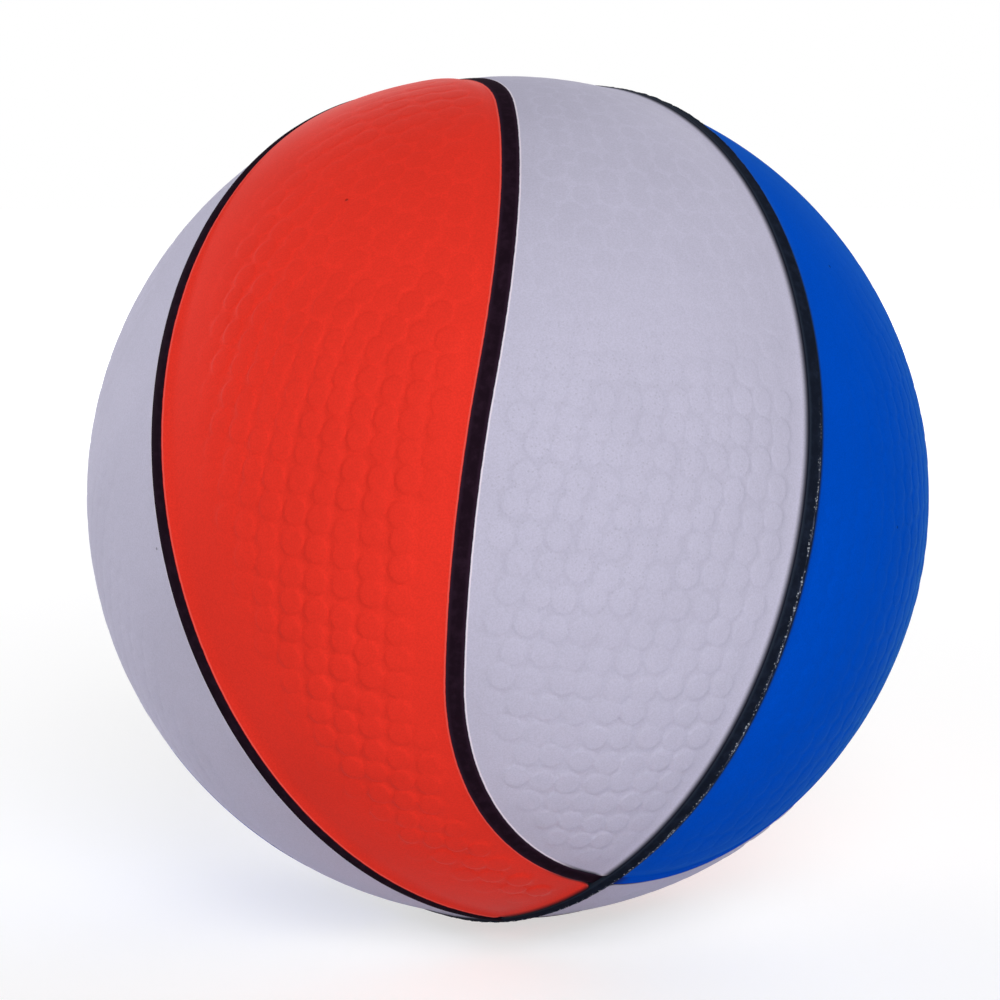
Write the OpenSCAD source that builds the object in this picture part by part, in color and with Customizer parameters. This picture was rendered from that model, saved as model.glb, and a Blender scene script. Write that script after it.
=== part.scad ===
// Small moulded ball: eight cover panels between black seam strips, laid on a
// rubber carcass over a thread winding and an air bladder with a needle valve.
// The origin is the middle of the ball, +Z is up as it lies, +Y runs out through the valve.

/* [Ball] */
// Outside diameter over the panels
ball_d = 130; // [110:1:250]
// Thickness of a cover panel
cover_t = 2; // [1.4:0.1:4]
// Thickness of the rubber carcass under the cover
carcass_t = 1.2; // [0.8:0.1:3]
// Thickness of the thread winding
winding_t = 0.6; // [0.4:0.1:2]
// Thickness of the bladder's wall
bladder_t = 1; // [0.6:0.1:2]
// Room left between two bonded layers
bond_gap = 0.1; // [0.06:0.01:0.2]

/* [Seams] */
// Width of a seam channel on the surface
seam_w = 2.4; // [1.5:0.1:5]
// How far the strips of the ring seam and the half seams stand above the panels
rib_rise = 0.6; // [0.2:0.1:1]
// How far the strips of the wave seam stand above the panels
wave_rise = 0.1; // [0.05:0.05:0.4]
// Room between a seam strip and its neighbours
seam_gap = 0.1; // [0.06:0.01:0.3]
// Angle from the parting plane to the wave seam at mid height
wave_mid = 43; // [38:0.5:52]
// Lean of the wave seam at mid height
wave_lean = 10; // [0:0.5:20]
// Angular radius of the wave's long arc in the lower half
wave_low = 81.5; // [65:0.5:84]
// Angular radius of the wave's long arc in the upper half
wave_up = 72; // [65:0.5:84]
// Angle of the middle of the waist arc below mid height, lower half
waist_low = 30; // [24:0.5:36]
// The same angle for the upper half, above mid height
waist_up = 31; // [24:0.5:36]

/* [Valve] */
// Radius of the valve body's stem
stem_r = 5; // [4.5:0.1:7]
// Room between the stem and the layers it passes through
stem_gap = 0.12; // [0.08:0.01:0.4]
// How far the reinforcing pad reaches beyond the stem
pad_reach = 7; // [4:0.5:12]
// Thickness of the reinforcing pad
pad_t = 1; // [0.6:0.1:2]
// How far the stem's flange reaches beyond the stem
flange_reach = 4; // [2:0.5:7]
// Thickness of the stem's flange
flange_t = 1.4; // [0.8:0.1:3]
// Length of the stem behind its flange
tail_l = 4; // [2:0.5:8]
// Wall of the stem around the plug's shank
stem_wall = 2; // [1.5:0.1:2.6]
// Running room around the plug's shank
plug_fit = 0.05; // [0.02:0.01:0.1]
// How much wider the plug's head is than its shank
head_step = 0.7; // [0.4:0.1:0.9]
// Height of the plug's head
head_h = 1.6; // [1:0.1:3]
// Room around and under the plug's head
head_gap = 0.3; // [0.2:0.05:0.4]
// How far the plug's face lies below the ball's surface
plug_drop = 0.3; // [0.1:0.1:0.6]
// Radius of the needle hole
needle_r = 1.1; // [0.9:0.05:1.4]
// Depth of the needle hole
needle_l = 8; // [5:0.5:10]

/* [Lie] */
// Turn of the seams about the upright line through their crossings
lie_turn = -49.5; // [-180:0.5:180]
// Tilt of the ball as it lies
lie_tilt = -22; // [-90:0.5:90]
// Turn of the tilted ball about the upright line
lie_face = 22; // [-180:0.5:180]

/* [Hidden] */
$fn = 96;
ball_r = ball_d / 2;
reach = ball_r + 3;
// height at which the seam cones start, below the thinnest of them
core_h = ball_r * 0.03;
cover_in_r = ball_r - cover_t;
carcass_r = cover_in_r - bond_gap;
winding_r = carcass_r - carcass_t - bond_gap;
bladder_r = winding_r - winding_t - bond_gap;
bladder_in_r = bladder_r - bladder_t;
pad_top_r = bladder_in_r - bond_gap;
flange_top_r = pad_top_r - pad_t - bond_gap;
stem_in_y = flange_top_r - flange_t - tail_l;
plug_r = stem_r - stem_wall;
head_r = plug_r + head_step;
plug_top_r = ball_r - plug_drop;
head_in_y = plug_top_r - head_h;

// how far one length of a wave strip starts inside the one before it, and how much thinner it is
lap_l = 1;
lap_hair = 0.03;

channel_half = seam_w / 2;
strip_half = channel_half - seam_gap;
// half widths of a channel and of a strip as angles at the ball's middle
channel_deg = channel_half / ball_r * 180 / PI;
strip_deg = strip_half / ball_r * 180 / PI;
// top of the wave's strip, top of the other strips and radius of their crown
wave_top_r = ball_r + wave_rise;
rib_top_r = ball_r * cos(strip_deg) + rib_rise;
crown_r = (pow(ball_r * sin(strip_deg), 2) + pow(rib_rise, 2)) / (2 * rib_rise);
// the channel's walls step by a hair where two arcs of the wave meet
step_deg = lap_hair / ball_r * 180 / PI;

// Geometry of the wave seam, in the frame of the seams: the ring seam is the plane y = 0,
// the half seams are the plane x = 0, and both cross on the z axis.

function unit(v) = v / norm(v);

// point where a wave half starts, at mid height
function mid_point(mid) = [cos(mid), -sin(mid), 0];

// level direction at that point, towards the ring seam
function mid_level(mid) = [sin(mid), cos(mid), 0];

// direction of the wave at that point, upwards
function mid_rise(mid, lean) = sin(lean) * mid_level(mid) + [0, 0, cos(lean)];

// middle of the long arc
function long_axis(mid, lean, arc) =
    cos(arc) * mid_point(mid)
    + sin(arc) * (cos(lean) * mid_level(mid) - [0, 0, sin(lean)]);

// middle of the waist arc, which crosses the ring seam squarely
function waist_axis(waist) = [cos(waist), 0, -sin(waist)];

// angular radius of the waist arc, so that it is tangent to the long arc
function waist_arc(mid, lean, arc, waist) =
    arc - acos(long_axis(mid, lean, arc) * waist_axis(waist));

// point where the two arcs meet
function meet_point(mid, lean, arc, waist) =
    let (e = long_axis(mid, lean, arc), w = waist_axis(waist), tight = waist_arc(mid, lean, arc, waist))
    cos(tight) * w - sin(tight) * unit(e - (e * w) * w);

// point where the waist arc crosses the ring seam
function waist_end(waist, tight) = [cos(waist + tight), 0, -sin(waist + tight)];

// angle about an arc's axis that keeps a strip's end out of the channel it runs into
function short_of_channel(arc) = asin(channel_half / (cover_in_r * sin(arc - strip_deg)));

// angle of a point about an axis, in the frame that aim() sets
function azimuth(axis, p) =
    let (u = unit(axis), ph = atan2(u[1], u[0]), c = u[2], s = sqrt(1 - c * c))
    atan2(p * [-sin(ph), cos(ph), 0], p * [cos(ph) * c, sin(ph) * c, -s]);

// shorter turn from one angle to another
function turn_to(a, b) = b - a - 360 * round((b - a) / 360);

// normal of the plane where the two arcs meet, towards the start of the long arc
function meet_normal(mid, lean, arc, waist) =
    let (n = unit(cross(long_axis(mid, lean, arc), waist_axis(waist))))
    n * mid_point(mid) > 0 ? n : -n;

module aim(v) {
    rotate([0, acos(unit(v)[2]), atan2(v[1], v[0])])
        children();
}

// everything on the side of a plane through the middle that its normal points to
module side_of(normal) {
    aim(normal)
        translate([-2 * reach, -2 * reach, 0])
            cube([4 * reach, 4 * reach, 2 * reach]);
}

// everything within an angle of an axis through the middle, clear of the middle itself
module cone_about(axis, angle) {
    aim(axis)
        translate([0, 0, core_h])
            cylinder(h = reach - core_h, r1 = core_h * tan(angle), r2 = reach * tan(angle));
}

// the stretch of a wave half along its long arc, grown by an angle
module long_side(mid, lean, arc, waist, grow) {
    intersection() {
        cone_about(long_axis(mid, lean, arc), arc + grow);
        side_of(meet_normal(mid, lean, arc, waist));
    }
}

// the stretch of a wave half along its waist arc, grown by an angle; past the point where the arcs meet
// it lies within the long one, so it is left whole there and the two lap
module waist_side(mid, lean, arc, waist, grow) {
    cone_about(waist_axis(waist), waist_arc(mid, lean, arc, waist) + grow);
}

module long_low(grow) {
    long_side(wave_mid, wave_lean, wave_low, waist_low, grow);
}

module waist_low_side(grow) {
    waist_side(wave_mid, wave_lean, wave_low, waist_low, grow);
}

module long_up(grow) {
    rotate(a = 180, v = [1, -1, 0])
        long_side(90 - wave_mid, wave_lean, wave_up, waist_up, grow);
}

module waist_up_side(grow) {
    rotate(a = 180, v = [1, -1, 0])
        waist_side(90 - wave_mid, wave_lean, wave_up, waist_up, grow);
}

module shell(outer, inner) {
    difference() {
        sphere(r = outer);
        sphere(r = inner);
    }
}

// one quarter of a layer, kept off the planes of the ring seam and the half seam
module quarter(outer, inner, edge) {
    intersection() {
        shell(outer, inner);
        translate([edge, -reach - edge, -reach])
            cube([reach, reach, 2 * reach]);
    }
}

// the part of a quarter below the wave seam's middle, and a lap beyond it
module quarter_low(outer, inner, edge, lap = 0) {
    rise = mid_rise(wave_mid, wave_lean);
    intersection() {
        quarter(outer, inner, edge);
        translate(lap * rise)
            side_of(-rise);
    }
}

// the part of a quarter above the wave seam's middle, and a lap beyond it
module quarter_up(outer, inner, edge, lap = 0) {
    rise = mid_rise(wave_mid, wave_lean);
    intersection() {
        quarter(outer, inner, edge);
        translate(-lap * rise)
            side_of(rise);
    }
}

// what lies on the lower crossing's side of the wave seam, kept off it by an angle
module low_side(outer, inner, edge, off) {
    difference() {
        quarter_low(outer, inner, edge);
        long_low(off);
        waist_low_side(off - step_deg);
    }
    intersection() {
        quarter_up(outer, inner, edge, lap_l);
        long_up(-off - step_deg);
    }
    intersection() {
        quarter_up(outer, inner, edge, lap_l);
        waist_up_side(-off - 2 * step_deg);
    }
}

// what lies on the upper crossing's side of the wave seam, kept off it by an angle
module high_side(outer, inner, edge, off) {
    difference() {
        quarter_up(outer, inner, edge);
        long_up(off);
        waist_up_side(off - step_deg);
    }
    intersection() {
        quarter_low(outer, inner, edge, lap_l);
        long_low(-off - step_deg);
    }
    intersection() {
        quarter_low(outer, inner, edge, lap_l);
        waist_low_side(-off - 2 * step_deg);
    }
}

// panel whose waist is at the lower crossing
module low_panel() {
    low_side(ball_r, cover_in_r, channel_half, channel_deg);
}

// panel whose waist is at the upper crossing
module high_panel() {
    high_side(ball_r, cover_in_r, channel_half, channel_deg);
}

// what lies within half an angle of the line at an angle from a section's upright, from one radius to another
module wedge_section(arc, half, from, to) {
    polygon([
        from * [sin(arc - half), cos(arc - half)],
        to * [sin(arc - half), cos(arc - half)],
        to * [sin(arc + half), cos(arc + half)],
        from * [sin(arc + half), cos(arc + half)]
    ]);
}

// section of a strip that stands proud: straight flanks up to the shoulder and a round crown above
module rib_section() {
    wedge_section(90, strip_deg, cover_in_r, ball_r);
    intersection() {
        wedge_section(90, strip_deg, cover_in_r, reach);
        translate([rib_top_r - crown_r, 0])
            circle(r = crown_r);
    }
}

// a section swept about an axis
module swept(axis, start, sweep) {
    aim(axis)
        rotate([0, 0, start])
            rotate_extrude(angle = sweep)
                children();
}

// stretch of the wave's strip at an angle from its axis, thinned by a hair all round
module arc_strip(axis, arc, start, sweep, hair) {
    half = strip_deg - hair / ball_r * 180 / PI;
    swept(axis, start, sweep)
        wedge_section(arc, half, cover_in_r + hair, wave_top_r - hair);
}

// the same from one point of the arc to another, begun early and stopped short by an angle
module arc_between(axis, arc, from, to, early, short, hair) {
    first = azimuth(axis, from);
    way = sign(turn_to(first, azimuth(axis, to)));
    start = first - way * early;
    sweep = abs(turn_to(first, azimuth(axis, to))) + early - short;
    arc_strip(axis, arc, way > 0 ? start : start - sweep, sweep, hair);
}

// one half of the wave seam in a quarter, from its middle to the channel that it runs into;
// the second length starts inside the first, and the first may start inside another half
module wave_half(mid, lean, arc, waist, lap, hair) {
    tight = waist_arc(mid, lean, arc, waist);
    joint = meet_point(mid, lean, arc, waist);
    long_lap = lap / (ball_r * sin(arc)) * 180 / PI;
    tight_lap = lap_l / (ball_r * sin(tight)) * 180 / PI;
    arc_between(long_axis(mid, lean, arc), arc, mid_point(mid), joint, long_lap, 0, hair);
    arc_between(
        waist_axis(waist), tight, joint, waist_end(waist, tight),
        tight_lap, short_of_channel(tight), hair + lap_hair
    );
}

// strip of the wave seam within one quarter
module wave_strip() {
    wave_half(wave_mid, wave_lean, wave_low, waist_low, 0, 0);
    rotate(a = 180, v = [1, -1, 0])
        wave_half(90 - wave_mid, wave_lean, wave_up, waist_up, lap_l, lap_hair);
}

// strip of the half seam on one side of the ring seam
module half_strip() {
    short = short_of_channel(90);
    swept([1, 0, 0], 180 + short, 180 - 2 * short)
        rib_section();
}

module ring_strip() {
    swept([0, 1, 0], 0, 360)
        rib_section();
}

// from the frame of the seams to the ball as it lies
module lie() {
    rotate([lie_tilt, 0, lie_face])
        rotate([0, 0, lie_turn])
            children();
}

// round bar along the valve's line, +Y
module bar(r, from, to) {
    translate([0, from, 0])
        rotate([-90, 0, 0])
            cylinder(h = to - from, r = r);
}

module stem_hole() {
    bar(stem_r + stem_gap, 0, reach);
}

// full layer of the ball with the valve's hole in it
module layer(outer, inner) {
    difference() {
        shell(outer, inner);
        stem_hole();
    }
}

module bladder() {
    color("dimgray")
        layer(bladder_r, bladder_in_r);
}

module winding() {
    color("ivory")
        layer(winding_r, winding_r - winding_t);
}

module carcass() {
    color("black")
        layer(carcass_r, carcass_r - carcass_t);
}

module valve_pad() {
    color("dimgray")
        difference() {
            intersection() {
                shell(pad_top_r, pad_top_r - pad_t);
                bar(stem_r + pad_reach, 0, reach);
            }
            stem_hole();
        }
}

module valve_body() {
    color("black")
        difference() {
            union() {
                intersection() {
                    shell(flange_top_r, flange_top_r - flange_t);
                    bar(stem_r + flange_reach, 0, reach);
                }
                intersection() {
                    sphere(r = ball_r);
                    bar(stem_r, stem_in_y, reach);
                }
            }
            bar(plug_r + plug_fit, stem_in_y - 1, reach);
            bar(head_r + head_gap, head_in_y - head_gap, reach);
        }
}

module valve_core() {
    color("dimgray")
        difference() {
            intersection() {
                sphere(r = plug_top_r);
                union() {
                    bar(plug_r, stem_in_y, reach);
                    bar(head_r, head_in_y, reach);
                }
            }
            bar(needle_r, plug_top_r - needle_l, reach);
        }
}

module panel_red_front() {
    color("red")
        lie()
            low_panel();
}

module panel_red_rear() {
    color("red")
        difference() {
            lie()
                rotate([0, 0, 180])
                    low_panel();
            stem_hole();
        }
}

module panel_white_front() {
    color("lavender")
        lie()
            high_panel();
}

module panel_white_rear() {
    color("lavender")
        lie()
            rotate([0, 0, 180])
                high_panel();
}

module panel_white_left() {
    color("lavender")
        lie()
            mirror([1, 0, 0])
                low_panel();
}

module panel_white_under() {
    color("lavender")
        lie()
            mirror([0, 1, 0])
                low_panel();
}

module panel_blue_right() {
    color("royalblue")
        lie()
            mirror([0, 1, 0])
                high_panel();
}

module panel_blue_left() {
    color("royalblue")
        lie()
            mirror([1, 0, 0])
                high_panel();
}

module seam_ring() {
    color("black")
        lie()
            ring_strip();
}

module seam_half_front() {
    color("black")
        lie()
            half_strip();
}

module seam_half_rear() {
    color("black")
        lie()
            mirror([0, 1, 0])
                half_strip();
}

module seam_wave_front() {
    color("black")
        lie()
            wave_strip();
}

module seam_wave_right() {
    color("black")
        lie()
            mirror([0, 1, 0])
                wave_strip();
}

module seam_wave_left() {
    color("black")
        lie()
            mirror([1, 0, 0])
                wave_strip();
}

module seam_wave_rear() {
    color("black")
        lie()
            rotate([0, 0, 180])
                wave_strip();
}

bladder();
valve_pad();
valve_body();
valve_core();
winding();
carcass();
panel_red_front();
panel_red_rear();
panel_white_front();
panel_white_rear();
panel_white_left();
panel_white_under();
panel_blue_right();
panel_blue_left();
seam_ring();
seam_half_front();
seam_half_rear();
seam_wave_front();
seam_wave_right();
seam_wave_left();
seam_wave_rear();
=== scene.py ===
"""Looks of a small rubber basketball, built over its packed solids.

The cover panels, the seams and the valve are made here as finer meshes in the places of their solids;
the layers inside stay as they are and get their finishes.
"""

import math

import bpy
import numpy as np
from bpy.props import FloatProperty, FloatVectorProperty, PointerProperty
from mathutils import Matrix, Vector
from mathutils.geometry import delaunay_2d_cdt


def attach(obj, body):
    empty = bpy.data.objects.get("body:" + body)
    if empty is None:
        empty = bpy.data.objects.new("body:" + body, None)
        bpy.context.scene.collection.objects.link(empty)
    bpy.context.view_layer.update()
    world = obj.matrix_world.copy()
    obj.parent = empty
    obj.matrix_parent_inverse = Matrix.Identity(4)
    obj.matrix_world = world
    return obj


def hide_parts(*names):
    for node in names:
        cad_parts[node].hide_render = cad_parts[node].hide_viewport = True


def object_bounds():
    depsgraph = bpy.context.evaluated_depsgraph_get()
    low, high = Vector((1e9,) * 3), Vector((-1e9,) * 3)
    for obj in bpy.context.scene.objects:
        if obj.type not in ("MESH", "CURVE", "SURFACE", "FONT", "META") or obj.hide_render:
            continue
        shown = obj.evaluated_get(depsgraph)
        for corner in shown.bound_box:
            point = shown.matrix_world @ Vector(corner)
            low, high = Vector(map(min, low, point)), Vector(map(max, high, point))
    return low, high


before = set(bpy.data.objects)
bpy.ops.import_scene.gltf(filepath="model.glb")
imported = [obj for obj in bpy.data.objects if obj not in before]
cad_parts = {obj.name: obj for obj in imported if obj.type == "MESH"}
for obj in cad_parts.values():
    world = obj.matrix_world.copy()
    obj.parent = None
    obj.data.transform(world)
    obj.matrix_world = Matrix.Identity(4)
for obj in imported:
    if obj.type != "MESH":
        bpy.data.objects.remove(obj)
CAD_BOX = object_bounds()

bl_info = {
    "name": "Rubber Basketball",
    "version": (1, 0, 0),
    "blender": (4, 5, 0),
    "location": "View3D > Sidebar > Ball",
    "description": "Builds the cover, seams, valve and stage of a small rubber basketball",
    "category": "Object",
}

MM = 0.001
BALL_R = (CAD_BOX[1][2] - CAD_BOX[0][2]) / 2
FLOOR_Z = CAD_BOX[0][2]
FULL_TURN = 2 * math.pi
RIGHT = math.pi / 2

# which panel lies where: its kind, how it is turned or mirrored from the first quarter, its colour
PANELS = {
    "panel_red_front": ("low", (1, 1, 1), "cover_red"),
    "panel_red_rear": ("low", (-1, -1, 1), "cover_red"),
    "panel_white_left": ("low", (-1, 1, 1), "cover_white"),
    "panel_white_under": ("low", (1, -1, 1), "cover_white"),
    "panel_white_front": ("high", (1, 1, 1), "cover_white"),
    "panel_white_rear": ("high", (-1, -1, 1), "cover_white"),
    "panel_blue_right": ("high", (1, -1, 1), "cover_blue"),
    "panel_blue_left": ("high", (-1, 1, 1), "cover_blue"),
}
WAVE_STRIPS = {
    "seam_wave_front": (1, 1, 1),
    "seam_wave_right": (1, -1, 1),
    "seam_wave_left": (-1, 1, 1),
    "seam_wave_rear": (-1, -1, 1),
}
HALF_STRIPS = {"seam_half_front": (1, 1, 1), "seam_half_rear": (1, -1, 1)}

# the panel with the valve's hole, the one that swells, where it swells most as the ball lies, how widely
HOLED = "panel_red_rear"
SWOLLEN = "panel_red_front"
BULGE_TOWARDS = np.array([-0.39, -0.20, 0.90])
BULGE_SPREAD = math.radians(26)

# line about which the rows of pebbles run, as the ball lies
PEBBLE_POLE = np.array([0.204, -0.107, 0.973])
# for each colour, the shift of a row of pebbles from the row below as a share of the pitch, and its depth
PEBBLES = {"cover_red": (-0.13, 1.85), "cover_white": (0.24, 1.1), "cover_blue": (0.24, 0.6)}
DEEPEST = max(depth for _, depth in PEBBLES.values())
# panels whose pebbles are fainter than the others of their colour
FAINT = {"panel_white_left": 0.45}

# where the front white panel is grimy, and round which the creases between its pebbles are painted darker as
# painted shade, as the ball lies
GRIME_AND_SHADE_AT = (0.0364, -0.0523, 0.0129)

# half turn that swaps the two crossings, and with them the low and the high panels
SWAP = np.array([[0.0, -1.0, 0.0], [-1.0, 0.0, 0.0], [0.0, 0.0, -1.0]])

# the pebbles' tops stay this far inside the ball's solids
COVER_INSET = 0.03 * MM
# rows of points from a panel's edge over its rolled rim, and from the valve hole's edge over its lip
RIM_ROWS = np.array([0.0, 0.05, 0.13, 0.26, 0.45, 0.7, 1.0, 1.35]) * MM
LIP_ROWS = np.array([0.0, 0.08, 0.22, 0.42, 0.7]) * MM
LIP_SINK = 0.35 * MM
LIP_POINTS = 72
# spacing of points along a rim, and rounding of a panel's corners beyond its rim
RIM_STEP = 0.45 * MM
CORNER_ROOM = 0.35 * MM
# loose points of the top keep this far from a pebble's middle, in its radii, and from the rim, in mesh steps
PEBBLE_CLEAR = 1.16
RIM_CLEAR = 0.3
# spacing of points on a panel's underside, and their margin from its edge
UNDER_STEP = 3.0 * MM
UNDER_MARGIN = 1.5 * MM
# rows of a side wall, as shares of its depth
WALL_ROWS = (0.35, 1.0)
# widths over which shallow pebbles' ground comes up from the rim, and the swelling from the wave seam
GROUND_WIDTH = 3 * MM
SWELL_WIDTH = 2.5 * MM
# what the finishes read on a panel's walls and underside as distance from its seams, in millimetres
UNDER_RIM = -0.1
# slow unevenness of the moulded rubber, and the width over which a panel laps up to the wave seam
UNEVEN = 0.02 * MM
LAP_WIDTH = 0.5 * MM

# the valve's radius and the gap round it in the cover
STEM_R = 5.0 * MM
STEM_GAP = 0.12 * MM

# painted glints, and a painted highlight along the crest, on the rough flash of the ring seam
FLASH_GLINT = (0.42, 0.46, 0.52)
FLASH_CREST_HIGHLIGHT = (0.075, 0.085, 0.13)

# soft lamps: the setting of their power, their width in metres, degrees round from the camera and degrees up
SOFTBOXES = {
    "key_softbox": ("key", 0.7, 10, 32),
    "rear_left_softbox": ("rear_left", 0.9, -122, 8),
    "rear_right_softbox": ("rear_right", 0.9, 150, 25),
}
LAMP_DISTANCE = 1.5
FLOOR_R = 4.0
FLOOR_SIDES = 64

LENGTH = {"unit": "LENGTH", "precision": 5}
ANGLE = {"subtype": "ANGLE"}
COLOUR = {"subtype": "COLOR", "min": 0, "max": 1}


class BallSizes(bpy.types.PropertyGroup):
    """Sizes of the cover and of its details"""

    cover: FloatProperty(
        name="Cover", description="Thickness of the cover panels", default=2.0 * MM, **LENGTH)
    seam_width: FloatProperty(
        name="Seam width", description="Width of the seams", default=2.4 * MM, **LENGTH)
    rib_rise: FloatProperty(
        name="Rib rise", description="How far the ring and half seams stand up", default=0.85 * MM, **LENGTH)
    flank_rise: FloatProperty(
        name="Flank rise", description="How far a panel climbs to those ribs", default=0.62 * MM, **LENGTH)
    flank_width: FloatProperty(
        name="Flank width", description="Width of a panel's climb to a rib", default=2.6 * MM, **LENGTH)
    wave_rise: FloatProperty(
        name="Wave rise", description="How far the wave seam stands up", default=0.08 * MM, **LENGTH)
    half_shift: FloatProperty(
        name="Half seam shift", description="How far half seams lie forwards", default=0.78 * MM, **LENGTH)
    half_bow: FloatProperty(
        name="Half seam bow", description="How much less they do at their ends", default=1.9 * MM, **LENGTH)
    rear_rib: FloatProperty(
        name="Rear rib", description="Height of the rear half seam as a share of the front one", default=0.35)
    ring_shift: FloatProperty(
        name="Ring seam shift", description="How far the ring lies forwards", default=0.25 * MM, **LENGTH)
    bulge: FloatProperty(
        name="Bulge", description="Swelling of the front red panel at its top", default=0.95 * MM, **LENGTH)
    pebble_pitch: FloatProperty(
        name="Pebble pitch", description="Distance between pebbles", default=3.95 * MM, **LENGTH)
    pebble_fill: FloatProperty(
        name="Pebble fill", description="Pebble's share of the pitch", default=1.04, min=0.3, max=1.1)
    pebble_height: FloatProperty(
        name="Pebble height", description="Height of a pebble", default=0.15 * MM, **LENGTH)
    bead_height: FloatProperty(
        name="Bead height", description="Height of the flash on the ring seam", default=0.25 * MM, **LENGTH)
    mesh_step: FloatProperty(
        name="Mesh step", description="Distance between points of the cover", default=0.9 * MM, **LENGTH)


class BallSeams(bpy.types.PropertyGroup):
    """Angles that lay out the wave seam and turn the ball"""

    wave_mid: FloatProperty(
        name="Wave middle", description="Place of the wave's middle", default=math.radians(43), **ANGLE)
    wave_lean: FloatProperty(
        name="Wave lean", description="Lean of the wave at its middle", default=math.radians(10), **ANGLE)
    wave_low: FloatProperty(
        name="Lower arc", description="Radius of the long lower arc", default=math.radians(81.5), **ANGLE)
    wave_up: FloatProperty(
        name="Upper arc", description="Radius of the long upper arc", default=math.radians(72), **ANGLE)
    waist_low: FloatProperty(
        name="Lower waist", description="Middle of the lower waist arc", default=math.radians(30), **ANGLE)
    waist_up: FloatProperty(
        name="Upper waist", description="Middle of the upper waist arc", default=math.radians(31), **ANGLE)
    lie_turn: FloatProperty(
        name="Turn", description="Turn about the line of the crossings", default=math.radians(-49.5), **ANGLE)
    lie_tilt: FloatProperty(
        name="Tilt", description="Tilt of the seams as the ball lies", default=math.radians(-22), **ANGLE)
    lie_face: FloatProperty(
        name="Face", description="Tilted ball's turn about the upright", default=math.radians(22), **ANGLE)


class BallColours(bpy.types.PropertyGroup):
    """Colours of the finishes"""

    red: FloatVectorProperty(
        name="Red", description="Colour of the red panels", default=(0.825, 0.037, 0.022), **COLOUR)
    white: FloatVectorProperty(
        name="White", description="Colour of the white panels", default=(0.535, 0.517, 0.65), **COLOUR)
    blue: FloatVectorProperty(
        name="Blue", description="Colour of the blue panels", default=(0.0, 0.074, 0.56), **COLOUR)
    # painted highlights along the rims of the red and white panels
    red_edge_highlight: FloatVectorProperty(
        name="Red rim", description="Painted highlight along the rim of the red panels", default=(0.8, 0.11, 0.09), **COLOUR)
    white_edge_highlight: FloatVectorProperty(
        name="White rim", description="Painted highlight along the rim of the white panels", default=(0.86, 0.76, 0.83), **COLOUR)
    black: FloatVectorProperty(
        name="Black", description="Colour of the seams", default=(0.0115, 0.0053, 0.0103), **COLOUR)
    # the haze is partly thin paint and partly painted shade beside the ring seam; the ring's own paint is
    # this colour darkened to three quarters
    haze: FloatVectorProperty(
        name="Haze", description="Thin paint beside the ring seam", default=(0.010, 0.014, 0.026), **COLOUR)
    # painted highlight: a paler teal on the ring seam's gentle slope
    ring_slope_highlight: FloatVectorProperty(
        name="Ring edge", description="Softer side of the ring seam", default=(0.019, 0.027, 0.043), **COLOUR)
    valve: FloatVectorProperty(
        name="Valve", description="Colour of the valve body", default=(0.014, 0.013, 0.014), **COLOUR)
    plug: FloatVectorProperty(
        name="Plug", description="Colour of the valve plug", default=(0.05, 0.05, 0.052), **COLOUR)
    thread: FloatVectorProperty(
        name="Thread", description="Colour of the winding", default=(0.62, 0.58, 0.48), **COLOUR)
    bladder: FloatVectorProperty(
        name="Bladder", description="Colour of the bladder", default=(0.035, 0.035, 0.038), **COLOUR)
    carcass: FloatVectorProperty(
        name="Carcass", description="Colour of the carcass", default=(0.02, 0.018, 0.018), **COLOUR)


class BallStage(bpy.types.PropertyGroup):
    """Camera and light"""

    azimuth: FloatProperty(
        name="Azimuth", description="Camera's way round the ball", default=math.radians(22), **ANGLE)
    elevation: FloatProperty(
        name="Elevation", description="Camera's height as an angle", default=math.radians(8), **ANGLE)
    distance: FloatProperty(
        name="Distance", description="Camera's distance from the ball's middle", default=0.3996, **LENGTH)
    lens: FloatProperty(name="Lens", description="Focal length in millimetres", default=92.14)
    shift_x: FloatProperty(name="Shift across", description="Camera's shift across", default=-0.0079)
    shift_y: FloatProperty(name="Shift up", description="Camera's shift up", default=-0.0032)
    ambient: FloatProperty(name="Ambient", description="Strength of the light from all round", default=0.16)
    key: FloatProperty(name="Key light", description="Watts of the front light", default=15.6)
    rear_left: FloatProperty(
        name="Rear light, left", description="Watts of the left rear light", default=17.0)
    rear_right: FloatProperty(
        name="Rear light, right", description="Watts of the right rear light", default=10.6)
    floor: FloatVectorProperty(
        name="Floor", description="Colour of the floor", default=(0.93, 0.93, 0.94), **COLOUR)


def unit(v):
    return v / np.linalg.norm(v)


def unit_rows(a):
    return a / np.linalg.norm(a, axis=1, keepdims=True)


def smooth(x, low, high):
    """0 at low, 1 at high, smooth between; the other way round where low is the larger."""
    t = np.clip((x - low) / (high - low), 0.0, 1.0)
    return t * t * (3 - 2 * t)


def angle_from(points, axis):
    return np.arccos(np.clip(points @ axis, -1, 1))


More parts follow.
